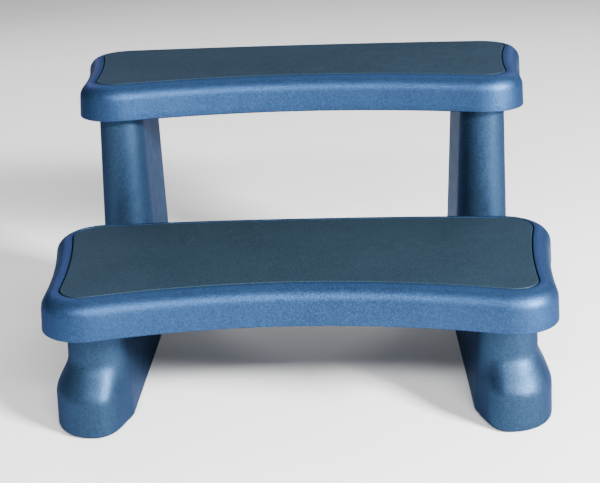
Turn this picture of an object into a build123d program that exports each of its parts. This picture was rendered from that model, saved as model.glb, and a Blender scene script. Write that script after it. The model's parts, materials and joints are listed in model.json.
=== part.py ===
from build123d import *
import os
from math import radians, tan

# Two-tread spa steps. Millimetres, +X along the treads to the user's right, +Y away from the
# user, +Z up. Inside the script y = 0 is near the front edge of the lower tread's panel; at the
# end everything moves back so that the origin is under the middle of the whole object.

# Where the treads are
LOWER_TOP = 200.0
UPPER_TOP = 388.5
RUN = 313.0

# Outline of a tread's non-slip panel, before its corners are rounded
PANEL_FRONT_WIDTH = 571.0
PANEL_REAR_WIDTH = 641.0
PANEL_FRONT_CORNER_Y = -42.5
PANEL_REAR_CORNER_Y = 224.0
PANEL_FRONT_MIDDLE_Y = 4.0
PANEL_REAR_MIDDLE_Y = 235.5
PANEL_END_HOLLOW = 9.0
PANEL_FRONT_CORNER_RADIUS = 30.0
PANEL_REAR_CORNER_RADIUS = 38.0
PANEL_THICKNESS = 4.4
PANEL_EDGE_RADIUS = 1.0
PANEL_GAP = 1.6

# Tread moulding
TREAD_THICKNESS = 47.3
TREAD_OVERHANG = 26.3
TREAD_DRAFT = 4.0
TREAD_EDGE_RADIUS = 21.4
TREAD_WALL = 4.0
RECESS_DEPTH = 4.0
RIB_THICKNESS = 3.0
RIB_SETBACK = 12.0
CROSS_RIB_SPACING = 64.0
CROSS_RIBS = 9
LONG_RIB_Y = (35.0, 100.0, 165.0)
OVERCUT = 1.0

# Bolted joint between a tread and a side frame
BOLT_X = 255.0
BOLT_Y = (42.0, 115.0)
BOSS_RADIUS = 15.0
COUNTERBORE_RADIUS = 11.0
COUNTERBORE_DEPTH = 7.0
BOLT_HOLE_RADIUS = 4.4
BOLT_RADIUS = 4.0
BOLT_HEAD_RADIUS = 7.5
BOLT_HEAD_HEIGHT = 4.4
BOLT_HEAD_ROUNDING = 1.2
BOLT_TIP_CHAMFER = 1.0
BOLT_SOCKET_RADIUS = 2.9
BOLT_SOCKET_DEPTH = 2.4
BOLT_REACH = 16.0
WASHER_RADIUS = 10.0
WASHER_THICKNESS = 1.6
INSERT_RADIUS = 6.0
INSERT_COLLAR_RADIUS = 7.5
INSERT_COLLAR_DEPTH = 1.5
INSERT_LENGTH = 18.0
FIT_GAP = 0.05

# Side frame: a hollow wall with a post at the back and a bulged toe at each end
FRAME_BOTTOM = 2.0
FRAME_WALL = 4.0
FRAME_INNER_X = 219.5
FRAME_INNER_DRAFT = 0.7
FRAME_OUTER_X = 302.0
FRAME_OUTER_DRAFT = 2.9
END_ROUNDING = 0.48
WALL_FRONT_Y = 9.0
WALL_REAR_Y = 480.0
TONGUE_REAR_Y = 215.0
SKIRT_GAP = 0.5
POST_FRONT_Y = 276.0
POST_REAR_LEAN = 2.7
TOE_LENGTH = 124.0
TOE_REACH = 1.6
TOE_INSIDE_STEP = 1.5
# A toe's sideways bulge at each height; forwards it is TOE_REACH times as much
TOE_SECTIONS = (
    (2.0, 16.0),
    (20.0, 16.5),
    (38.0, 16.5),
    (52.0, 15.0),
    (63.0, 11.0),
    (74.0, 6.0),
    (85.0, 2.0),
    (97.0, -1.5),
)
FRAME_BOSS_RADIUS = 12.0
FRAME_BOSS_LENGTH = 26.0
BOSS_LIFT = 1.0

# Feet and drain plugs
PAD_THICKNESS = 5.0
PAD_MARGIN = 16.0
PAD_LENGTH = 78.0
PAD_CORNER_RADIUS = 23.0
PAD_SETBACK = 47.0
PAD_SCREW_RADIUS = 2.2
PAD_SCREW_HEAD_RADIUS = 4.2
PAD_SCREW_HEAD_CLEARANCE = 0.5
PAD_SCREW_HOLE_DEPTH = 14.0
PAD_SCREW_LENGTH = 12.0
PAD_SCREW_SETBACK = 1.5
PAD_SCREW_SPACING = 36.0
PAD_BOSS_RADIUS = 6.5
PAD_BOSS_LENGTH = 16.0
DRAIN_Y = 250.0
DRAIN_RADIUS = 9.0
PLUG_HEAD_RADIUS = 13.0
PLUG_HEAD_THICKNESS = 1.5
PLUG_LENGTH = 12.0
PLUG_WALL = 2.5


def disc(radius, height, x, y, z):
    """A cylinder that stands on height z at (x, y)."""
    return Pos(x, y, z) * Cylinder(radius, height, align=(Align.CENTER, Align.CENTER, Align.MIN))


def bolt_points():
    """The four bolt positions of a tread, in the tread's own plan."""
    return [(side * BOLT_X, y) for side in (-1, 1) for y in BOLT_Y]


# ---- treads -------------------------------------------------------------------------------

def panel_outline():
    """The plan shape of a non-slip panel: hollow front, bowed back and slightly hollow ends."""
    front_x = PANEL_FRONT_WIDTH / 2
    rear_x = PANEL_REAR_WIDTH / 2
    end_x = (front_x + rear_x) / 2 - PANEL_END_HOLLOW
    end_y = (PANEL_FRONT_CORNER_Y + PANEL_REAR_CORNER_Y) / 2
    front_left = (-front_x, PANEL_FRONT_CORNER_Y)
    front_right = (front_x, PANEL_FRONT_CORNER_Y)
    rear_left = (-rear_x, PANEL_REAR_CORNER_Y)
    rear_right = (rear_x, PANEL_REAR_CORNER_Y)
    edges = [
        ThreePointArc(front_left, (0, PANEL_FRONT_MIDDLE_Y), front_right),
        ThreePointArc(front_right, (end_x, end_y), rear_right),
        ThreePointArc(rear_right, (0, PANEL_REAR_MIDDLE_Y), rear_left),
        ThreePointArc(rear_left, (-end_x, end_y), front_left),
    ]
    sharp = make_face(Wire(edges))
    corners = sharp.vertices().sort_by(Axis.Y)
    rounded = fillet(corners[:2], PANEL_FRONT_CORNER_RADIUS)
    return fillet(rounded.vertices().sort_by(Axis.Y)[-2:], PANEL_REAR_CORNER_RADIUS)


def tread_volume(outline, inset, height):
    """A drafted block with a rolled top edge, its sides inset from the tread's outer skin."""
    base = offset(outline, TREAD_OVERHANG - inset)
    block = extrude(base, height, taper=TREAD_DRAFT)
    top_edges = block.faces().sort_by(Axis.Z)[-1].edges()
    return fillet(top_edges, TREAD_EDGE_RADIUS - inset)


def rib_grid(height):
    """Crossed ribs over the whole plan, from the rib setback up to a height."""
    depth = height - RIB_SETBACK
    low = (Align.CENTER, Align.CENTER, Align.MIN)
    middle = (PANEL_FRONT_CORNER_Y + PANEL_REAR_MIDDLE_Y) / 2
    across = PANEL_REAR_WIDTH + 2 * TREAD_OVERHANG
    along = PANEL_REAR_MIDDLE_Y - PANEL_FRONT_CORNER_Y + 2 * TREAD_OVERHANG
    ribs = []
    for index in range(CROSS_RIBS):
        x = (index - (CROSS_RIBS - 1) / 2) * CROSS_RIB_SPACING
        ribs.append(Pos(x, middle, RIB_SETBACK) * Box(RIB_THICKNESS, along, depth, align=low))
    for y in LONG_RIB_Y:
        ribs.append(Pos(0, y, RIB_SETBACK) * Box(across, RIB_THICKNESS, depth, align=low))
    for x, y in bolt_points():
        ribs.append(disc(BOSS_RADIUS, depth, x, y, RIB_SETBACK))
    return Part() + ribs


def tread(outline):
    """A tread moulding with its bottom edge on z = 0."""
    floor = TREAD_THICKNESS - RECESS_DEPTH
    plate = floor - TREAD_WALL
    shell = tread_volume(outline, 0, TREAD_THICKNESS)
    hollow = tread_volume(outline, TREAD_WALL, plate)
    recess = Pos(0, 0, floor) * extrude(offset(outline, PANEL_GAP), RECESS_DEPTH + OVERCUT)
    body = shell - hollow
    body += rib_grid(plate) & hollow
    body -= recess
    for x, y in bolt_points():
        body -= disc(BOLT_HOLE_RADIUS, TREAD_THICKNESS, x, y, 0)
        body -= disc(COUNTERBORE_RADIUS, COUNTERBORE_DEPTH + OVERCUT, x, y, floor - COUNTERBORE_DEPTH)
    return body


def panel(outline):
    """A non-slip panel with its underside on z = 0."""
    plate = extrude(outline, PANEL_THICKNESS)
    return fillet(plate.faces().sort_by(Axis.Z)[-1].edges(), PANEL_EDGE_RADIUS)


# ---- bolts, washers and threaded inserts ----------------------------------------------------

def tread_bolts():
    """The four bolts of a tread, placed as in tread()."""
    seat = TREAD_THICKNESS - RECESS_DEPTH - COUNTERBORE_DEPTH + WASHER_THICKNESS
    tip = RIB_SETBACK - BOLT_REACH
    bolts = []
    for x, y in bolt_points():
        head = disc(BOLT_HEAD_RADIUS, BOLT_HEAD_HEIGHT, x, y, seat)
        head = fillet(head.faces().sort_by(Axis.Z)[-1].edges(), BOLT_HEAD_ROUNDING)
        socket = extrude(RegularPolygon(BOLT_SOCKET_RADIUS, 6), BOLT_SOCKET_DEPTH)
        socket = Pos(x, y, seat + BOLT_HEAD_HEIGHT - BOLT_SOCKET_DEPTH) * socket
        shank = disc(BOLT_RADIUS, seat - tip, x, y, tip)
        shank = chamfer(shank.faces().sort_by(Axis.Z)[0].edges(), BOLT_TIP_CHAMFER)
        bolts.append(shank + head - socket)
    return bolts


def tread_washers():
    """The four washers of a tread, placed as in tread()."""
    seat = TREAD_THICKNESS - RECESS_DEPTH - COUNTERBORE_DEPTH
    washers = []
    for x, y in bolt_points():
        washer = disc(WASHER_RADIUS, WASHER_THICKNESS, x, y, seat)
        washers.append(washer - disc(BOLT_HOLE_RADIUS, WASHER_THICKNESS, x, y, seat))
    return washers


def insert_blank(x, y, gap):
    """A threaded insert's outer shape under the tread's ribs; gap makes it larger all round."""
    body = disc(INSERT_RADIUS + gap, INSERT_LENGTH, x, y, RIB_SETBACK - INSERT_LENGTH)
    collar_z = RIB_SETBACK - INSERT_COLLAR_DEPTH
    return body + disc(INSERT_COLLAR_RADIUS + gap, INSERT_COLLAR_DEPTH, x, y, collar_z)


def tread_inserts():
    """The four threaded inserts in the side frames below a tread, placed as in tread()."""
    inserts = []
    for x, y in bolt_points():
        bore = disc(BOLT_RADIUS + FIT_GAP, INSERT_LENGTH, x, y, RIB_SETBACK - INSERT_LENGTH)
        inserts.append(insert_blank(x, y, 0) - bore)
    return inserts


# ---- side frames ------------------------------------------------------------------------------

def inner_x(z):
    """The side frame's inner face at a height."""
    return FRAME_INNER_X + z * tan(radians(FRAME_INNER_DRAFT))


def outer_x(z):
    """The side frame's outer face at a height."""
    return FRAME_OUTER_X - z * tan(radians(FRAME_OUTER_DRAFT))


def rear_y(z):
    """The side frame's rear end at a height."""
    return WALL_REAR_Y - z * tan(radians(POST_REAR_LEAN))


def plan(z, x_low, x_high, y_low, y_high, front_radius, rear_radius):
    """A rounded rectangle at height z, with its own radii at the front and the rear."""
    middle = Pos((x_low + x_high) / 2, (y_low + y_high) / 2)
    sharp = middle * Rectangle(x_high - x_low, y_high - y_low)
    front = fillet(sharp.vertices().sort_by(Axis.Y)[:2], front_radius)
    return Pos(0, 0, z) * fillet(front.vertices().sort_by(Axis.Y)[-2:], rear_radius)


def column(inset, top, front, rears):
    """A drafted wall from the frame's bottom to a top height, as a loft of two plans."""
    sections = []
    for z, rear in zip((FRAME_BOTTOM + inset, top - inset), rears):
        low = inner_x(z) + inset
        high = outer_x(z) - inset
        rounding = END_ROUNDING * (high - low)
        sections.append(plan(z, low, high, front + inset, rear - inset, rounding, rounding))
    return loft(sections, ruled=True)


def toe(inset, at_rear):
    """A bulged toe around the front or the rear end of the wall."""
    sections = []
    for index, (z, bulge) in enumerate(TOE_SECTIONS):
        height = z + inset if index == 0 else z
        reach = bulge * TOE_REACH - inset
        low = inner_x(z) + TOE_INSIDE_STEP + inset
        high = outer_x(z) + bulge - inset
        if at_rear:
            front, rear = rear_y(z) - TOE_LENGTH - reach, rear_y(z) + reach
        else:
            front, rear = WALL_FRONT_Y - reach, WALL_FRONT_Y + TOE_LENGTH + reach
        rounding = END_ROUNDING * (high - low)
        sections.append(plan(height, low, high, front, rear, rounding, rounding))
    return loft(sections)


def frame_volume(inset):
    """The right side frame's solid outer shape, its faces moved inwards by inset."""
    lower_rib = LOWER_TOP - TREAD_THICKNESS + RIB_SETBACK
    upper_rib = UPPER_TOP - TREAD_THICKNESS + RIB_SETBACK
    wall_top = LOWER_TOP - TREAD_THICKNESS - SKIRT_GAP
    bottom_rear = rear_y(FRAME_BOTTOM)
    wall = column(inset, wall_top, WALL_FRONT_Y, (bottom_rear, rear_y(wall_top)))
    tongue = column(inset, lower_rib, WALL_FRONT_Y, (TONGUE_REAR_Y, TONGUE_REAR_Y))
    post = column(inset, upper_rib, POST_FRONT_Y, (bottom_rear, rear_y(upper_rib)))
    return wall + tongue + post + toe(inset, at_rear=False) + toe(inset, at_rear=True)


def foot_centres():
    """Plan centres of the right side frame's front and rear foot pads."""
    x = (inner_x(0) + outer_x(0)) / 2
    return [(x, WALL_FRONT_Y + PAD_SETBACK), (x, WALL_REAR_Y - PAD_SETBACK)]


def pad_screw_points():
    """Plan positions of the right side frame's four foot-pad screws."""
    half = PAD_SCREW_SPACING / 2
    return [(x, y + step) for x, y in foot_centres() for step in (-half, half)]


def side_frame():
    """The right side frame, hollow, with bosses for the inserts and the foot pads' screws."""
    outer = frame_volume(0)
    body = outer - frame_volume(FRAME_WALL)
    bosses = []
    holes = []
    for rise, back in ((LOWER_TOP, 0), (UPPER_TOP, RUN)):
        base = rise - TREAD_THICKNESS
        for y in BOLT_Y:
            foot = base + RIB_SETBACK - FRAME_BOSS_LENGTH
            bosses.append(disc(FRAME_BOSS_RADIUS, FRAME_BOSS_LENGTH, BOLT_X, y + back, foot))
            holes.append(Pos(0, back, base) * insert_blank(BOLT_X, y, FIT_GAP))
    for x, y in pad_screw_points():
        bosses.append(disc(PAD_BOSS_RADIUS, PAD_BOSS_LENGTH, x, y, FRAME_BOTTOM + BOSS_LIFT))
        holes.append(disc(PAD_SCREW_RADIUS + FIT_GAP, PAD_SCREW_HOLE_DEPTH, x, y, 0))
    for x, y in foot_centres():
        holes.append(pad_blank(x, y, FIT_GAP, PAD_THICKNESS + FIT_GAP))
    x = foot_centres()[0][0]
    holes.append(disc(DRAIN_RADIUS + FIT_GAP, PLUG_LENGTH, x, DRAIN_Y, 0))
    body = body + bosses
    return body - holes


# ---- feet and drain plugs ---------------------------------------------------------------------

def pad_blank(x, y, gap, height):
    """The outer shape of a rubber foot pad that stands on the ground."""
    width = outer_x(0) - inner_x(0) - 2 * PAD_MARGIN
    outline = RectangleRounded(width + 2 * gap, PAD_LENGTH + 2 * gap, PAD_CORNER_RADIUS)
    return extrude(Pos(x, y, 0) * outline, height)


def foot_pad(x, y):
    """A rubber foot pad with two countersunk screw holes."""
    pad = pad_blank(x, y, 0, PAD_THICKNESS)
    sink = PAD_THICKNESS / 2 + PAD_SCREW_HEAD_CLEARANCE
    for step in (-PAD_SCREW_SPACING / 2, PAD_SCREW_SPACING / 2):
        pad -= disc(PAD_SCREW_RADIUS + FIT_GAP, PAD_THICKNESS, x, y + step, 0)
        pad -= disc(PAD_SCREW_HEAD_RADIUS + PAD_SCREW_HEAD_CLEARANCE, sink, x, y + step, 0)
    return pad


def pad_screws():
    """The right side frame's foot-pad screws."""
    head_height = PAD_THICKNESS / 2 + PAD_SCREW_HEAD_CLEARANCE - PAD_SCREW_SETBACK
    screws = []
    for x, y in pad_screw_points():
        shank = disc(PAD_SCREW_RADIUS, PAD_SCREW_LENGTH, x, y, PAD_SCREW_SETBACK)
        head = disc(PAD_SCREW_HEAD_RADIUS, head_height, x, y, PAD_SCREW_SETBACK)
        screws.append(shank + head)
    return screws


def drain_plug():
    """The plug in the right side frame's drain hole."""
    x = foot_centres()[0][0]
    head = disc(PLUG_HEAD_RADIUS, PLUG_HEAD_THICKNESS, x, DRAIN_Y, FRAME_BOTTOM - PLUG_HEAD_THICKNESS)
    stem = disc(DRAIN_RADIUS, PLUG_LENGTH - FRAME_BOTTOM, x, DRAIN_Y, FRAME_BOTTOM)
    core = disc(DRAIN_RADIUS - PLUG_WALL, PLUG_LENGTH, x, DRAIN_Y, FRAME_BOTTOM + OVERCUT)
    return head + stem - core


def mirrored(shape):
    """The same piece on the left side."""
    return mirror(shape, Plane.YZ)


# ---- assembly and export ----------------------------------------------------------------------

def assemble():
    """Every node's shape, by name."""
    outline = panel_outline()
    nodes = {}
    for level, top, back in (("lower", LOWER_TOP, 0), ("upper", UPPER_TOP, RUN)):
        place = Pos(0, back, top - TREAD_THICKNESS)
        nodes[level + "_tread"] = place * tread(outline)
        nodes[level + "_tread_panel"] = Pos(0, back, top - RECESS_DEPTH) * panel(outline)
        nodes[level + "_tread_bolts"] = place * Compound(tread_bolts())
        nodes[level + "_tread_washers"] = place * Compound(tread_washers())
        nodes[level + "_tread_inserts"] = place * Compound(tread_inserts())
    frame = side_frame()
    plug = drain_plug()
    nodes["right_side_frame"] = frame
    nodes["left_side_frame"] = mirrored(frame)
    nodes["right_drain_plug"] = plug
    nodes["left_drain_plug"] = mirrored(plug)
    for name, (x, y) in zip(("front", "rear"), foot_centres()):
        pad = foot_pad(x, y)
        nodes[name + "_right_foot_pad"] = pad
        nodes[name + "_left_foot_pad"] = mirrored(pad)
    screws = pad_screws()
    nodes["foot_pad_screws"] = Compound(screws + [mirrored(screw) for screw in screws])
    return nodes


def export(nodes):
    """Centre the object over the origin and write one file for each node."""
    front = nodes["lower_tread"].bounding_box().min.Y
    rear = nodes["upper_tread"].bounding_box().max.Y
    centred = Pos(0, -(front + rear) / 2, 0)
    print("shift in y:", round(-(front + rear) / 2, 3))
    os.makedirs("parts", exist_ok=True)
    for name, shape in nodes.items():
        export_step(centred * shape, "parts/" + name + ".step")


export(assemble())
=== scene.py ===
import json
import math

import bmesh
import bpy
import numpy as np
from mathutils import Matrix, Vector


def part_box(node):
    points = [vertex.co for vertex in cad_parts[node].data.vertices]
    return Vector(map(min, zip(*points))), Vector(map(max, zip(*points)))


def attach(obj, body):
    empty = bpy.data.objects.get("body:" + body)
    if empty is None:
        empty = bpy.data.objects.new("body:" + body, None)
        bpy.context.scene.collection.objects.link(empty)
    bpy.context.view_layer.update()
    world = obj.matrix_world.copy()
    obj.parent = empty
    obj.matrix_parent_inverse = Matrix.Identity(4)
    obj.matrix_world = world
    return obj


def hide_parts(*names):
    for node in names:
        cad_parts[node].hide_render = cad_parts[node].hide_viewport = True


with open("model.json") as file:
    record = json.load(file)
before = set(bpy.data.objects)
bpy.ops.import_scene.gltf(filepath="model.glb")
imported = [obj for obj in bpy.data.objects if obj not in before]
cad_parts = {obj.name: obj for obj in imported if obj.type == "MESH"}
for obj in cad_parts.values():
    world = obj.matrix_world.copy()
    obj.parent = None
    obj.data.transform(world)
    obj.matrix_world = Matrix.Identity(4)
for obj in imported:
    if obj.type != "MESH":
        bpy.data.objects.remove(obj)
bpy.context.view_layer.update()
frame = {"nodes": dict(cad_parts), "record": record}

# All lengths are in metres

# Outline of a tread's non-slip panel, before its corners are rounded
PANEL_FRONT_WIDTH = 0.571
PANEL_REAR_WIDTH = 0.641
PANEL_FRONT_CORNER_Y = -0.0425
PANEL_REAR_CORNER_Y = 0.224
PANEL_FRONT_MIDDLE_Y = 0.004
PANEL_REAR_MIDDLE_Y = 0.2355
PANEL_END_HOLLOW = 0.009
PANEL_FRONT_CORNER_RADIUS = 0.03
PANEL_REAR_CORNER_RADIUS = 0.038
PANEL_EDGE_RADIUS = 0.001
PANEL_TOP_RINGS = (0.004, 0.012)

# Points on each stretch of the right half of the outline
FRONT_STEPS = 44
FRONT_CORNER_STEPS = 16
SIDE_STEPS = 30
REAR_CORNER_STEPS = 18
REAR_STEPS = 44

# Tread moulding. The overhang is 0.01 mm less than in CAD, to keep the skin inside the CAD box.
# The rolled edge starts at EDGE_START, measured outwards from the panel's outline.
TREAD_OVERHANG = 0.02629
TREAD_DRAFT = math.radians(4)
TREAD_WALL = 0.004
EDGE_RADIUS = 0.0214
EDGE_START = 0.00303
INNER_EDGE_SHIFT = 0.0003
GROOVE_WIDTH = 0.0016
RECESS_DEPTH = 0.004
LIP_RADIUS = 0.0008
RIM_RADIUS = 0.0015
RIB_THICKNESS = 0.003
RIB_SETBACK = 0.012
CROSS_RIB_SPACING = 0.064
CROSS_RIBS = 9
LONG_RIB_Y = (0.035, 0.1, 0.165)
RIB_REACH_X = 0.4
RIB_REACH_Y = (-0.1, 0.3)
BOLT_X = 0.255
BOLT_Y = (0.042, 0.115)
BOSS_RADIUS = 0.015
BOLT_HOLE_RADIUS = 0.0044
COUNTERBORE_RADIUS = 0.011
COUNTERBORE_DEPTH = 0.007
ROD_SIDES = 40

# Right side frame, with y measured from the origin of the lower tread's plan
INNER_DRAFT = math.radians(0.7)
OUTER_DRAFT = math.radians(2.9)
REAR_LEAN = math.radians(2.7)
INNER_X = 0.2195
OUTER_X = 0.302
WALL_FRONT_Y = 0.009
WALL_REAR_Y = 0.48
POST_FRONT_Y = 0.276
TONGUE_REAR_Y = 0.215
TONGUE_ROOT = 0.001
END_ROUNDING = 0.48
TOE_BULGE = 0.0165
TOE_REACH = 1.6
TOE_SHOULDER_LOW = 0.046
TOE_SHOULDER_HIGH = 0.094
TOE_FLAT = 0.07
TOE_FADE = 0.145
TOE_SIDE_SHARE = 0.45
FOOT_EDGE_RADIUS = 0.004
EDGE_BEVEL = 0.004
SHARP_ANGLE = math.radians(50)
SHELF_GAP = 0.0005

# Points and rings of the side frame's mesh
END_STEPS = 28
REAR_FLAT_STEPS = 24
FRONT_FLAT_STEPS = 40
WALL_RINGS = 34
POST_RINGS = 36

# Colour of the moulded plastic: each pattern's scale per metre, the stretch of its values that
# counts, and how far it shifts the colour
PATCH_SCALE = 9
PATCH_RANGE = (0.35, 0.65)
PATCH_STRENGTH = 0.35
SPECKLE_SCALE = 420
SPECKLE_RANGE = (0.35, 0.7)
SPECKLE_STRENGTH = 0.5
WORN_EDGE_RANGE = (0.52, 0.62)
WORN_EDGE_STRENGTH = 0.35

# Gloss and grain of the moulded plastic: a coarse and a fine pattern, added with a weight
GLOSS_SCALES = (60, 700)
GLOSS_RANGE = (0.5, 1.1)
FINE_GRAIN_RATIO = 2.2
FINE_WEIGHT = 0.6
GRAIN_DEPTH = 0.00015
HIGHLIGHT_TINT = (0.14, 0.3, 0.45, 1)

# Small parts: how far their colour and gloss vary, with a range that also serves the floor
DETAIL_RANGE = (0.3, 0.7)
DETAIL_STRENGTH = 0.5
DETAIL_GLOSS_CHANGE = 0.06

# Camera: its turns in radians, its lens and sensor in millimetres
CAMERA_PLACE = (0.0537, -1.5158, 0.7042)
CAMERA_YAW = 0.03898
CAMERA_PITCH = 0.34456
CAMERA_ROLL = 0.03499
CAMERA_LENS = 67.87
CAMERA_SENSOR = 36

# Surroundings
FLOOR_HALF_SIZE = 8
FLOOR_COLOURS = ((0.72, 0.72, 0.72, 1), (0.7, 0.7, 0.7, 1))
FLOOR_ROUGHNESS = 0.9
WHITE = (1, 1, 1, 1)
WORLD_STRENGTH = 0.25


# ---- small helpers ---------------------------------------------------------------------

def add_object(name, shape):
    """A new object from a bmesh, shaded smooth."""
    bmesh.ops.recalc_face_normals(shape, faces=shape.faces)
    mesh = bpy.data.meshes.new(name)
    shape.to_mesh(mesh)
    shape.free()
    mesh.shade_smooth()
    piece = bpy.data.objects.new(name, mesh)
    bpy.context.scene.collection.objects.link(piece)
    return piece


def keep_modifiers(piece):
    """Turn the result of the piece's modifiers into its own mesh."""
    graph = bpy.context.evaluated_depsgraph_get()
    result = bpy.data.meshes.new_from_object(piece.evaluated_get(graph))
    piece.modifiers.clear()
    old = piece.data
    piece.data = result
    result.name = piece.name
    bpy.data.meshes.remove(old)


def combine(piece, tool, operation):
    """A boolean of a piece with a tool object, which is used up."""
    step = piece.modifiers.new("combine", "BOOLEAN")
    step.operation = operation
    step.solver = "EXACT"
    step.use_self = True
    step.object = tool
    keep_modifiers(piece)
    bpy.data.objects.remove(tool)


def finish_piece(piece, material, node):
    """The piece's material, on the part's one body, with the CAD node that it stands for hidden."""
    piece.data.materials.clear()
    piece.data.materials.append(material)
    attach(piece, "root")
    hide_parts(node)


# ---- the treads' outline ---------------------------------------------------------------

def circle_through(first, second, third):
    """Centre and radius of the circle through three points."""
    (ax, ay), (bx, by), (cx, cy) = first, second, third
    double_area = 2 * (ax * (by - cy) + bx * (cy - ay) + cx * (ay - by))
    a2, b2, c2 = ax * ax + ay * ay, bx * bx + by * by, cx * cx + cy * cy
    x = (a2 * (by - cy) + b2 * (cy - ay) + c2 * (ay - by)) / double_area
    y = (a2 * (cx - bx) + b2 * (ax - cx) + c2 * (bx - ax)) / double_area
    return np.array((x, y)), math.hypot(ax - x, ay - y)


def circles_meet(centre_a, radius_a, centre_b, radius_b, near):
    """Where two circles cross, nearest to a point."""
    between = centre_b - centre_a
    distance = np.linalg.norm(between)
    along = (radius_a**2 - radius_b**2 + distance**2) / (2 * distance)
    aside = math.sqrt(radius_a**2 - along**2)
    unit = between / distance
    normal = np.array((-unit[1], unit[0]))
    options = [centre_a + unit * along + normal * aside * sign for sign in (-1, 1)]
    return min(options, key=lambda point: np.linalg.norm(point - near))


def arc(centre, radius, start, end, count, outward):
    """Points on an arc and their normals; outward is 1 on a convex edge and -1 on a hollow one."""
    angles = np.linspace(start, end, count, endpoint=False)
    directions = np.stack((np.cos(angles), np.sin(angles)), axis=1)
    return centre + radius * directions, outward * directions


def direction(start, end):
    """The angle of the way from one point to another."""
    return math.atan2(end[1] - start[1], end[0] - start[0])


def panel_outline():
    """Points and outward normals round the panel, counterclockwise from the middle of its front."""
    front_corner = np.array((PANEL_FRONT_WIDTH / 2, PANEL_FRONT_CORNER_Y))
    rear_corner = np.array((PANEL_REAR_WIDTH / 2, PANEL_REAR_CORNER_Y))
    end_middle = (front_corner + rear_corner) / 2 - (PANEL_END_HOLLOW, 0)
    mirror = np.array((-1, 1))
    full_turn = 2 * math.pi
    front, front_radius = circle_through(front_corner, (0, PANEL_FRONT_MIDDLE_Y), front_corner * mirror)
    side, side_radius = circle_through(front_corner, end_middle, rear_corner)
    rear, rear_radius = circle_through(rear_corner, (0, PANEL_REAR_MIDDLE_Y), rear_corner * mirror)
    r1, r2 = PANEL_FRONT_CORNER_RADIUS, PANEL_REAR_CORNER_RADIUS
    corner1 = circles_meet(front, front_radius + r1, side, side_radius + r1, front_corner)
    corner2 = circles_meet(side, side_radius + r2, rear, rear_radius - r2, rear_corner)
    side_start = direction(side, corner1) % full_turn
    side_end = direction(side, corner2) % full_turn
    stretches = [
        arc(front, front_radius, math.pi / 2, direction(front, corner1), FRONT_STEPS, -1),
        arc(corner1, r1, direction(corner1, front), direction(corner1, side), FRONT_CORNER_STEPS, 1),
        arc(side, side_radius, side_start, side_end, SIDE_STEPS, -1),
        arc(corner2, r2, direction(corner2, side), direction(rear, corner2), REAR_CORNER_STEPS, 1),
        arc(rear, rear_radius, direction(rear, corner2), math.pi / 2, REAR_STEPS, 1),
    ]
    points = np.concatenate([stretch[0] for stretch in stretches])
    normals = np.concatenate([stretch[1] for stretch in stretches])
    rear_point = np.array(((0, PANEL_REAR_MIDDLE_Y),))
    rear_normal = np.array(((0, 1),))
    all_points = np.concatenate((points, rear_point, points[:0:-1] * mirror))
    all_normals = np.concatenate((normals, rear_normal, normals[:0:-1] * mirror))
    return all_points, all_normals


OUTLINE, OUTWARD = panel_outline()


def tread_origin(tread):
    """Where the origin of a tread's own plan lies, at the height of its top, from its CAD box."""
    low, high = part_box(tread)
    front = (OUTLINE + OUTWARD * TREAD_OVERHANG)[:, 1].min()
    return Vector((0, low.y - front, high.z))


def sweep(profile):
    """A closed skin round the outline; profile lists pairs of offset from it and height."""
    shape = bmesh.new()
    rings = []
    for offset, height in profile:
        ring = OUTLINE + OUTWARD * offset
        rings.append([shape.verts.new((x, y, height)) for x, y in ring])
    for low, high in zip(rings, rings[1:]):
        bridge(shape, low, high)
    shape.faces.new(rings[0])
    shape.faces.new(rings[-1])
    return shape


def bridge(shape, first, second):
    """Quads between two rings with the same number of points."""
    for index in range(len(first)):
        after = (index + 1) % len(first)
        shape.faces.new((first[index], first[after], second[after], second[index]))


def quarter(centre, radius, start, end, steps):
    """Points of a small arc in a profile, angles in degrees."""
    angles = np.radians(np.linspace(start, end, steps + 1))
    return [(centre[0] + radius * math.cos(a), centre[1] + radius * math.sin(a)) for a in angles]


def tread_profile(thickness):
    """The tread's section: from the recess, over the rolled edge, down, and up again inside."""
    draft = math.degrees(TREAD_DRAFT)
    plate = -RECESS_DEPTH - TREAD_WALL
    inner_radius = EDGE_RADIUS - TREAD_WALL
    inner_start = EDGE_START + INNER_EDGE_SHIFT
    lip = (GROOVE_WIDTH + LIP_RADIUS, -LIP_RADIUS)
    rim = (TREAD_OVERHANG - RIM_RADIUS, -thickness + RIM_RADIUS)
    inner_foot = TREAD_OVERHANG - TREAD_WALL
    profile = [(GROOVE_WIDTH, -RECESS_DEPTH), (GROOVE_WIDTH, -RECESS_DEPTH / 2)]
    profile += quarter(lip, LIP_RADIUS, 180, 90, steps=4)
    profile += quarter((EDGE_START, -EDGE_RADIUS), EDGE_RADIUS, 90, draft, steps=16)
    skirt_top = profile[-1]
    skirt_foot = (TREAD_OVERHANG - RIM_RADIUS * math.sin(TREAD_DRAFT), -thickness + RIM_RADIUS)
    for share in (0.33, 0.66):
        profile.append(tuple(np.array(skirt_top) * (1 - share) + np.array(skirt_foot) * share))
    profile += quarter(rim, RIM_RADIUS, draft, -90, steps=5)
    profile += [(inner_foot + RIM_RADIUS / 2, -thickness), (inner_foot, -thickness + RIM_RADIUS / 2)]
    profile += quarter((inner_start, plate - inner_radius), inner_radius, draft, 90, steps=10)
    return profile


def inner_profile(thickness):
    """The section of a block that ends inside the tread's wall, to trim the ribs with."""
    plate = -RECESS_DEPTH - TREAD_WALL / 2
    radius = EDGE_RADIUS - TREAD_WALL / 2
    foot = TREAD_OVERHANG - TREAD_WALL / 2
    draft = math.degrees(TREAD_DRAFT)
    return [(foot, -thickness)] + quarter((EDGE_START, plate - radius), radius, draft, 90, steps=8)


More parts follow.
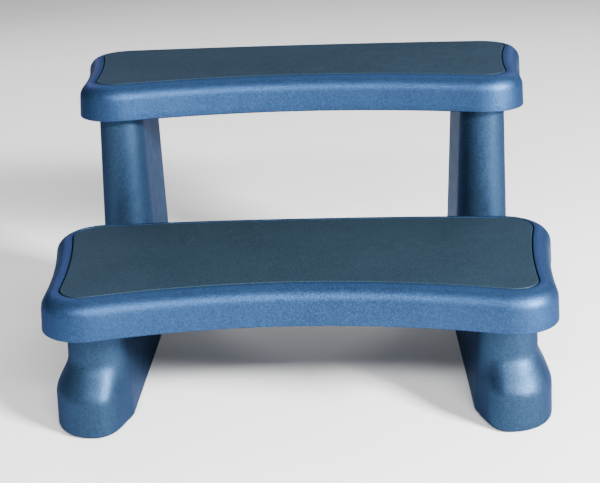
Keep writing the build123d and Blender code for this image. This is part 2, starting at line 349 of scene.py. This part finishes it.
def add_box(shape, low, high):
    """A box in a bmesh, from two corners."""
    made = bmesh.ops.create_cube(shape, size=1)["verts"]
    middle = (Vector(low) + Vector(high)) / 2
    size = Vector(high) - Vector(low)
    for vertex in made:
        vertex.co = vertex.co * size + middle


def add_rod(shape, x, y, low, high, radius):
    """An upright cylinder in a bmesh."""
    bmesh.ops.create_cone(
        shape,
        cap_ends=True,
        segments=ROD_SIDES,
        radius1=radius,
        radius2=radius,
        depth=high - low,
        matrix=Matrix.Translation((x, y, (low + high) / 2)),
    )


def bolt_points():
    """The four bolt positions of a tread, in its own plan."""
    return [(side * BOLT_X, y) for side in (-1, 1) for y in BOLT_Y]


def rib_grid(thickness):
    """Crossed ribs and bolt bosses under a tread, longer than the tread until they are trimmed."""
    shape = bmesh.new()
    low = -thickness + RIB_SETBACK
    high = -RECESS_DEPTH - TREAD_WALL / 2
    half = RIB_THICKNESS / 2
    front, rear = RIB_REACH_Y
    for index in range(CROSS_RIBS):
        x = (index - (CROSS_RIBS - 1) / 2) * CROSS_RIB_SPACING
        add_box(shape, (x - half, front, low), (x + half, rear, high))
    for y in LONG_RIB_Y:
        add_box(shape, (-RIB_REACH_X, y - half, low), (RIB_REACH_X, y + half, high))
    for x, y in bolt_points():
        add_rod(shape, x, y, low, high, BOSS_RADIUS)
    return add_object("ribs", shape)


def bolt_holes(thickness):
    """Stepped holes for the bolts of a tread."""
    shape = bmesh.new()
    seat = -RECESS_DEPTH - COUNTERBORE_DEPTH
    for x, y in bolt_points():
        add_rod(shape, x, y, -thickness, 0, BOLT_HOLE_RADIUS)
        add_rod(shape, x, y, seat, 0, COUNTERBORE_RADIUS)
    return add_object("holes", shape)


def tread_shell():
    """One tread moulding with its top at z = 0."""
    low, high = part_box("lower_tread")
    thickness = high.z - low.z
    ribs = rib_grid(thickness)
    combine(ribs, add_object("inside", sweep(inner_profile(thickness))), "INTERSECT")
    shell = add_object("tread_moulding", sweep(tread_profile(thickness)))
    combine(shell, ribs, "UNION")
    combine(shell, bolt_holes(thickness), "DIFFERENCE")
    shell.data.shade_smooth()
    return shell


def panel_plate():
    """One non-slip panel with the tread's top at z = 0; rings on its top keep its pale edge narrow."""
    low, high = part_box("lower_tread_panel")
    tread_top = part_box("lower_tread")[1].z
    top = high.z - tread_top
    base = low.z - tread_top
    edge = PANEL_EDGE_RADIUS
    profile = [(0, base), (0, top - edge)]
    profile += quarter((-edge, top - edge), edge, 15, 90, steps=5)
    profile += [(-inset, top) for inset in PANEL_TOP_RINGS]
    return add_object("panel_plate", sweep(profile))


# ---- side frames -----------------------------------------------------------------------

def ease(t):
    """A smooth step from 0 to 1."""
    t = min(max(t, 0.0), 1.0)
    return t * t * (3 - 2 * t)


def inner_x(z):
    """The right side frame's inner face at a height."""
    return INNER_X + z * math.tan(INNER_DRAFT)


def outer_x(z):
    """The right side frame's outer face at a height."""
    return OUTER_X - z * math.tan(OUTER_DRAFT)


def rear_y(z):
    """The side frame's rear end at a height."""
    return WALL_REAR_Y - z * math.tan(REAR_LEAN)


def end_radius(z):
    """The radius at the ends of the frame's section at a height."""
    return END_ROUNDING * (outer_x(z) - inner_x(z))


def end_round(z, tip, at_rear):
    """Points and normals round one end of the frame, from one flat face to the other."""
    low, high = inner_x(z), outer_x(z)
    radius = end_radius(z)
    flip = 1 if at_rear else -1
    centre_y = tip - flip * radius
    points = []
    for index in range(END_STEPS + 1):
        angle = math.pi * index / END_STEPS
        normal = Vector((math.cos(angle), flip * math.sin(angle), 0))
        if index < END_STEPS / 2:
            x = high - radius
        elif index > END_STEPS / 2:
            x = low + radius
        else:
            x = (high + low) / 2
        points.append((Vector((x + normal.x * radius, centre_y + normal.y * radius, z)), normal))
    return points if at_rear else points[::-1]


def flat_run(z, x, start, end, count):
    """Points and normals along a flat face, with both ends left out."""
    normal = Vector((1 if x > (inner_x(z) + outer_x(z)) / 2 else -1, 0, 0))
    steps = [start + (end - start) * (index + 1) / (count + 1) for index in range(count)]
    return [(Vector((x, y, z)), normal) for y in steps]


def split_y(z):
    """Where the front and rear stretches of the frame's section meet: behind the post's front."""
    return POST_FRONT_Y + end_radius(z)


def rear_stretch(z):
    """The section behind the split, from the outer face round the rear end to the inner face."""
    tip = rear_y(z)
    flat_end = tip - end_radius(z)
    outer = flat_run(z, outer_x(z), split_y(z), flat_end, REAR_FLAT_STEPS)
    inner = flat_run(z, inner_x(z), flat_end, split_y(z), REAR_FLAT_STEPS)
    first = (Vector((outer_x(z), split_y(z), z)), Vector((1, 0, 0)))
    last = (Vector((inner_x(z), split_y(z), z)), Vector((-1, 0, 0)))
    return [first] + outer + end_round(z, tip, True) + inner + [last]


def wall_front(z):
    """The wall's section in front of the split, from the inner face round to the outer face."""
    flat_end = WALL_FRONT_Y + end_radius(z)
    inner = flat_run(z, inner_x(z), split_y(z), flat_end, FRONT_FLAT_STEPS)
    outer = flat_run(z, outer_x(z), flat_end, split_y(z), FRONT_FLAT_STEPS)
    return inner + end_round(z, WALL_FRONT_Y, False) + outer


def post_front(z):
    """The post's rounded front, without the two points on the split."""
    return end_round(z, POST_FRONT_Y, False)[1:-1]


def toe_bulge(point, normal):
    """How far the toes push the surface out at a point: most near the ends, low and outside."""
    height = ease((TOE_SHOULDER_HIGH - point.z) / (TOE_SHOULDER_HIGH - TOE_SHOULDER_LOW))
    from_end = min(point.y - WALL_FRONT_Y, rear_y(point.z) - point.y)
    length = 1 - ease((from_end - TOE_FLAT) / (TOE_FADE - TOE_FLAT))
    width = outer_x(point.z) - inner_x(point.z)
    across = (point.x - inner_x(point.z)) / width
    side = ease(across / TOE_SIDE_SHARE)
    forwards = 1 + (TOE_REACH - 1) * normal.y * normal.y
    return TOE_BULGE * forwards * height * length * side


def section_verts(shape, section, inset=0):
    """Vertices of a section, bulged at the toes and moved inwards by inset."""
    made = []
    for point, normal in section:
        moved = point + normal * (toe_bulge(point, normal) - inset)
        made.append(shape.verts.new(moved))
    return made


def side_frame_shape(shelf, top, bottom):
    """The right side frame's skin as one closed mesh, with y as in the part's own plan."""
    shape = bmesh.new()
    rings = []
    for degrees in (90, 60, 30):
        z = bottom + FOOT_EDGE_RADIUS * (1 - math.sin(math.radians(degrees)))
        inset = FOOT_EDGE_RADIUS * (1 - math.cos(math.radians(degrees)))
        rings.append(section_verts(shape, rear_stretch(z) + wall_front(z), inset))
    for z in np.linspace(bottom + FOOT_EDGE_RADIUS, shelf, WALL_RINGS)[:-1]:
        rings.append(section_verts(shape, rear_stretch(z) + wall_front(z)))
    shared = section_verts(shape, rear_stretch(shelf))
    front = section_verts(shape, wall_front(shelf))
    rings.append(shared + front)
    for low, high in zip(rings, rings[1:]):
        bridge(shape, low, high)
    shape.faces.new(rings[0])
    post_foot = section_verts(shape, post_front(shelf))
    shape.faces.new([shared[-1]] + front + [shared[0]] + post_foot[::-1])
    previous = shared + post_foot
    for z in np.linspace(shelf, top, POST_RINGS)[1:]:
        ring = section_verts(shape, rear_stretch(z) + post_front(z))
        bridge(shape, previous, ring)
        previous = ring
    shape.faces.new(previous)
    return shape


def tongue(shelf, top):
    """The raised strip on the wall's shelf that the lower tread is bolted to."""
    shape = bmesh.new()
    rings = []
    for z in (shelf - TONGUE_ROOT, top):
        section = end_round(z, TONGUE_REAR_Y, True) + end_round(z, WALL_FRONT_Y, False)
        rings.append([shape.verts.new(point - normal * TONGUE_ROOT) for point, normal in section])
    bridge(shape, *rings)
    shape.faces.new(rings[0])
    shape.faces.new(rings[1])
    return add_object("tongue", shape)


def side_frame():
    """The right side frame as an object in its place under the treads."""
    tread_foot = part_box("lower_tread")[0].z
    shelf = tread_foot - SHELF_GAP
    low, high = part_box("right_side_frame")
    skin = add_object("right_side_frame_skin", side_frame_shape(shelf, high.z, low.z))
    combine(skin, tongue(shelf, tread_foot + RIB_SETBACK), "UNION")
    edges = skin.modifiers.new("edges", "BEVEL")
    edges.width = EDGE_BEVEL
    edges.segments = 3
    edges.limit_method = "ANGLE"
    edges.angle_limit = SHARP_ANGLE
    keep_modifiers(skin)
    skin.data.transform(Matrix.Translation((0, tread_origin("lower_tread").y, 0)))
    return skin


def mirrored_copy(piece, name):
    """A new object on the other side, the piece's mirror image."""
    mesh = piece.data.copy()
    mesh.transform(Matrix.Scale(-1, 4, (1, 0, 0)))
    mesh.flip_normals()
    mesh.name = name
    copy = bpy.data.objects.new(name, mesh)
    bpy.context.scene.collection.objects.link(copy)
    return copy


# ---- materials -------------------------------------------------------------------------

def linear(red, green, blue):
    """An sRGB colour, 0 to 255, as the linear values that shaders take."""
    values = [channel / 255 for channel in (red, green, blue)]
    return tuple(v / 12.92 if v < 0.04045 else ((v + 0.055) / 1.055) ** 2.4 for v in values) + (1,)


class Nodes:
    """A material's node tree, with short calls to add nodes to it."""

    def __init__(self, name):
        self.material = bpy.data.materials.new(name)
        self.material.use_nodes = True
        self.tree = self.material.node_tree
        self.shader = self.tree.nodes["Principled BSDF"]
        self.position = self.tree.nodes.new("ShaderNodeTexCoord").outputs["Object"]

    def link(self, source, target):
        """Join an output to an input."""
        self.tree.links.new(source, target)

    def noise(self, scale, detail):
        """Soft noise around 0.5."""
        node = self.tree.nodes.new("ShaderNodeTexNoise")
        node.inputs["Scale"].default_value = scale
        node.inputs["Detail"].default_value = detail
        node.inputs["Roughness"].default_value = 0.55
        self.link(self.position, node.inputs["Vector"])
        return node.outputs["Fac"]

    def cells(self, scale):
        """Distance from the middles of rounded cells."""
        node = self.tree.nodes.new("ShaderNodeTexVoronoi")
        node.feature = "SMOOTH_F1"
        node.inputs["Scale"].default_value = scale
        node.inputs["Smoothness"].default_value = 0.4
        self.link(self.position, node.inputs["Vector"])
        return node.outputs["Distance"]

    def remap(self, value, low, high, to_low, to_high):
        """A value moved from one range to another and held inside it."""
        node = self.tree.nodes.new("ShaderNodeMapRange")
        node.inputs["From Min"].default_value = low
        node.inputs["From Max"].default_value = high
        node.inputs["To Min"].default_value = to_low
        node.inputs["To Max"].default_value = to_high
        self.link(value, node.inputs["Value"])
        return node.outputs["Result"]

    def mix(self, amount, first, second):
        """A blend of two colours, each a fixed colour or an output."""
        node = self.tree.nodes.new("ShaderNodeMix")
        node.data_type = "RGBA"
        self.link(amount, node.inputs["Factor"])
        for value, socket in ((first, node.inputs["A"]), (second, node.inputs["B"])):
            if isinstance(value, tuple):
                socket.default_value = value
            else:
                self.link(value, socket)
        return node.outputs["Result"]

    def add(self, first, second, weight):
        """The first value plus the second one times a weight."""
        node = self.tree.nodes.new("ShaderNodeMath")
        node.operation = "MULTIPLY_ADD"
        self.link(second, node.inputs[0])
        node.inputs[1].default_value = weight
        self.link(first, node.inputs[2])
        return node.outputs["Value"]

    def bump(self, height, distance):
        """Fine relief on the shader's normal."""
        node = self.tree.nodes.new("ShaderNodeBump")
        node.inputs["Distance"].default_value = distance
        self.link(height, node.inputs["Height"])
        self.link(node.outputs["Normal"], self.shader.inputs["Normal"])


def moulded_plastic(name, base, light, dark, metallic, ior, roughness, grain):
    """Moulded plastic with a metallic share: mottled, grained, unevenly glossy, paler edges."""
    nodes = Nodes(name)
    patches = nodes.remap(nodes.noise(PATCH_SCALE, 4), *PATCH_RANGE, 0, PATCH_STRENGTH)
    speckle = nodes.remap(nodes.noise(SPECKLE_SCALE, 2), *SPECKLE_RANGE, 0, SPECKLE_STRENGTH)
    pointiness = nodes.tree.nodes.new("ShaderNodeNewGeometry").outputs["Pointiness"]
    wear = nodes.remap(pointiness, *WORN_EDGE_RANGE, 0, WORN_EDGE_STRENGTH)
    colour = nodes.mix(patches, base, dark)
    colour = nodes.mix(speckle, colour, light)
    colour = nodes.mix(wear, colour, light)
    nodes.link(colour, nodes.shader.inputs["Base Color"])
    coarse, fine = GLOSS_SCALES
    gloss = nodes.add(nodes.noise(coarse, 3), nodes.noise(fine, 2), FINE_WEIGHT)
    nodes.link(nodes.remap(gloss, *GLOSS_RANGE, *roughness), nodes.shader.inputs["Roughness"])
    height = nodes.add(nodes.cells(grain), nodes.noise(grain * FINE_GRAIN_RATIO, 2), FINE_WEIGHT)
    nodes.bump(height, GRAIN_DEPTH)
    nodes.shader.inputs["Metallic"].default_value = metallic
    nodes.shader.inputs["IOR"].default_value = ior
    nodes.shader.inputs["Specular Tint"].default_value = HIGHLIGHT_TINT
    return nodes.material


def plain_detail(name, base, light, roughness, metallic, grain, depth):
    """A small part's material, with fine grain and slight variation of colour and gloss."""
    nodes = Nodes(name)
    speckle = nodes.remap(nodes.noise(grain, 3), *DETAIL_RANGE, 0, DETAIL_STRENGTH)
    nodes.link(nodes.mix(speckle, base, light), nodes.shader.inputs["Base Color"])
    smooth = roughness - DETAIL_GLOSS_CHANGE
    rough = roughness + DETAIL_GLOSS_CHANGE
    gloss = nodes.remap(nodes.noise(grain / 4, 2), *DETAIL_RANGE, smooth, rough)
    nodes.link(gloss, nodes.shader.inputs["Roughness"])
    nodes.bump(nodes.noise(grain, 2), depth)
    nodes.shader.inputs["Metallic"].default_value = metallic
    return nodes.material


# ---- camera, floor and lights ----------------------------------------------------------

def make_camera():
    """The viewing angle: in front, a little to the right and well above the steps."""
    level_right = Vector((math.cos(CAMERA_YAW), math.sin(CAMERA_YAW), 0))
    level_forward = Vector((-math.sin(CAMERA_YAW), math.cos(CAMERA_YAW), 0))
    forward = math.cos(CAMERA_PITCH) * level_forward - Vector((0, 0, math.sin(CAMERA_PITCH)))
    level_down = forward.cross(level_right)
    right = math.cos(CAMERA_ROLL) * level_right + math.sin(CAMERA_ROLL) * level_down
    down = -math.sin(CAMERA_ROLL) * level_right + math.cos(CAMERA_ROLL) * level_down
    data = bpy.data.cameras.new("camera")
    data.sensor_width = CAMERA_SENSOR
    data.lens = CAMERA_LENS
    camera = bpy.data.objects.new("camera", data)
    camera.matrix_world = Matrix((right, -down, -forward)).transposed().to_4x4()
    camera.location = CAMERA_PLACE
    bpy.context.scene.collection.objects.link(camera)
    bpy.context.scene.camera = camera


def make_floor():
    """A plain pale floor."""
    shape = bmesh.new()
    bmesh.ops.create_grid(shape, x_segments=1, y_segments=1, size=FLOOR_HALF_SIZE)
    floor = add_object("floor", shape)
    nodes = Nodes("floor")
    patches = nodes.remap(nodes.noise(3, 2), *DETAIL_RANGE, 0, 1)
    nodes.link(nodes.mix(patches, *FLOOR_COLOURS), nodes.shader.inputs["Base Color"])
    nodes.shader.inputs["Roughness"].default_value = FLOOR_ROUGHNESS
    floor.data.materials.append(nodes.material)


def area_light(name, location, target, size, power):
    """A soft white rectangular light that points at a target, with its power in watts."""
    data = bpy.data.lights.new(name, "AREA")
    data.shape = "RECTANGLE"
    data.size, data.size_y = size
    data.energy = power
    light = bpy.data.objects.new(name, data)
    light.location = location
    light.rotation_euler = (Vector(target) - Vector(location)).to_track_quat("-Z", "Y").to_euler()
    bpy.context.scene.collection.objects.link(light)


def make_lights():
    """A key light at the front right, a strip above the front, weaker fill and a white world."""
    area_light("key", location=(2.2, -1.75, 1.42), target=(0, -0.2, 0.15), size=(0.7, 0.4), power=620)
    area_light("strip", location=(0.1, -2.2, 1.65), target=(0, 0, 0.3), size=(2.0, 0.3), power=125)
    area_light("top", location=(0, 2.2, 3.4), target=(0, 1.8, 0), size=(4.0, 3.0), power=80)
    area_light("left", location=(-2.5, -1.2, 1.0), target=(0, 0, 0.2), size=(0.8, 0.8), power=4)
    for x in (-1.6, 1.6):
        area_light("rear", location=(x, 2.4, 1.6), target=(0, 0.1, 0.2), size=(0.8, 0.8), power=20)
    world = bpy.data.worlds.new("studio")
    world.use_nodes = True
    background = world.node_tree.nodes["Background"]
    background.inputs["Color"].default_value = WHITE
    background.inputs["Strength"].default_value = WORLD_STRENGTH
    bpy.context.scene.world = world


# ---- the object ------------------------------------------------------------------------

TREAD_PLASTIC = moulded_plastic(
    "tread_plastic",
    base=linear(33, 53, 81),
    light=linear(46, 76, 116),
    dark=linear(23, 39, 62),
    metallic=0.8,
    ior=1.5,
    roughness=(0.38, 0.5),
    grain=1000,
)
PANEL_PLASTIC = moulded_plastic(
    "panel_plastic",
    base=linear(31, 44, 54),
    light=linear(46, 62, 75),
    dark=linear(21, 32, 41),
    metallic=0.6,
    ior=1.2,
    roughness=(0.56, 0.72),
    grain=650,
)
FRAME_PLASTIC = moulded_plastic(
    "frame_plastic",
    base=linear(33, 50, 71),
    light=linear(46, 70, 99),
    dark=linear(22, 35, 52),
    metallic=0.8,
    ior=1.5,
    roughness=(0.38, 0.5),
    grain=1000,
)
RUBBER = plain_detail(
    "foot_rubber",
    base=(0.02, 0.02, 0.022, 1),
    light=(0.045, 0.045, 0.048, 1),
    roughness=0.8,
    metallic=0,
    grain=900,
    depth=0.0001,
)
PLUG_PLASTIC = plain_detail(
    "plug_plastic",
    base=(0.02, 0.025, 0.03, 1),
    light=(0.05, 0.055, 0.06, 1),
    roughness=0.5,
    metallic=0,
    grain=900,
    depth=0.00005,
)
STEEL = plain_detail(
    "stainless_steel",
    base=(0.55, 0.55, 0.57, 1),
    light=(0.7, 0.7, 0.72, 1),
    roughness=0.3,
    metallic=1,
    grain=1500,
    depth=0.00002,
)
BRASS = plain_detail(
    "insert_brass",
    base=(0.6, 0.43, 0.16, 1),
    light=(0.75, 0.58, 0.3, 1),
    roughness=0.35,
    metallic=1,
    grain=1500,
    depth=0.00002,
)
MATERIALS = {
    "tread_plastic": TREAD_PLASTIC,
    "panel_plastic": PANEL_PLASTIC,
    "frame_plastic": FRAME_PLASTIC,
    "foot_rubber": RUBBER,
    "plug_plastic": PLUG_PLASTIC,
    "stainless_steel": STEEL,
    "insert_brass": BRASS,
}


def make_treads():
    """Both treads and their panels: one moulding and one plate, each used twice."""
    shell = tread_shell()
    plate = panel_plate()
    for level in ("lower", "upper"):
        node = level + "_tread"
        origin = tread_origin(node)
        for piece, name, material, slot in (
            (shell, node, TREAD_PLASTIC, "tread_plastic"),
            (plate, node + "_panel", PANEL_PLASTIC, "panel_plastic"),
        ):
            mesh = piece.data.copy()
            mesh.transform(Matrix.Translation(origin))
            copy = bpy.data.objects.new(name + "_moulding", mesh)
            mesh.name = copy.name
            bpy.context.scene.collection.objects.link(copy)
            finish_piece(copy, material, name)
    bpy.data.objects.remove(shell)
    bpy.data.objects.remove(plate)


def make_frames():
    """Both side frames, the left one a mirror image of the right."""
    right = side_frame()
    left = mirrored_copy(right, "left_side_frame_skin")
    finish_piece(right, FRAME_PLASTIC, "right_side_frame")
    finish_piece(left, FRAME_PLASTIC, "left_side_frame")


def dress_cad_nodes():
    """A material for every CAD node, by its slot, whether the node shows or has a skin."""
    for subpart in frame["record"]["subparts"]:
        node = frame["nodes"][subpart["node"]]
        node.data.materials.clear()
        node.data.materials.append(MATERIALS[subpart["material_slot"]])


make_camera()
make_floor()
make_lights()
make_treads()
make_frames()
dress_cad_nodes()
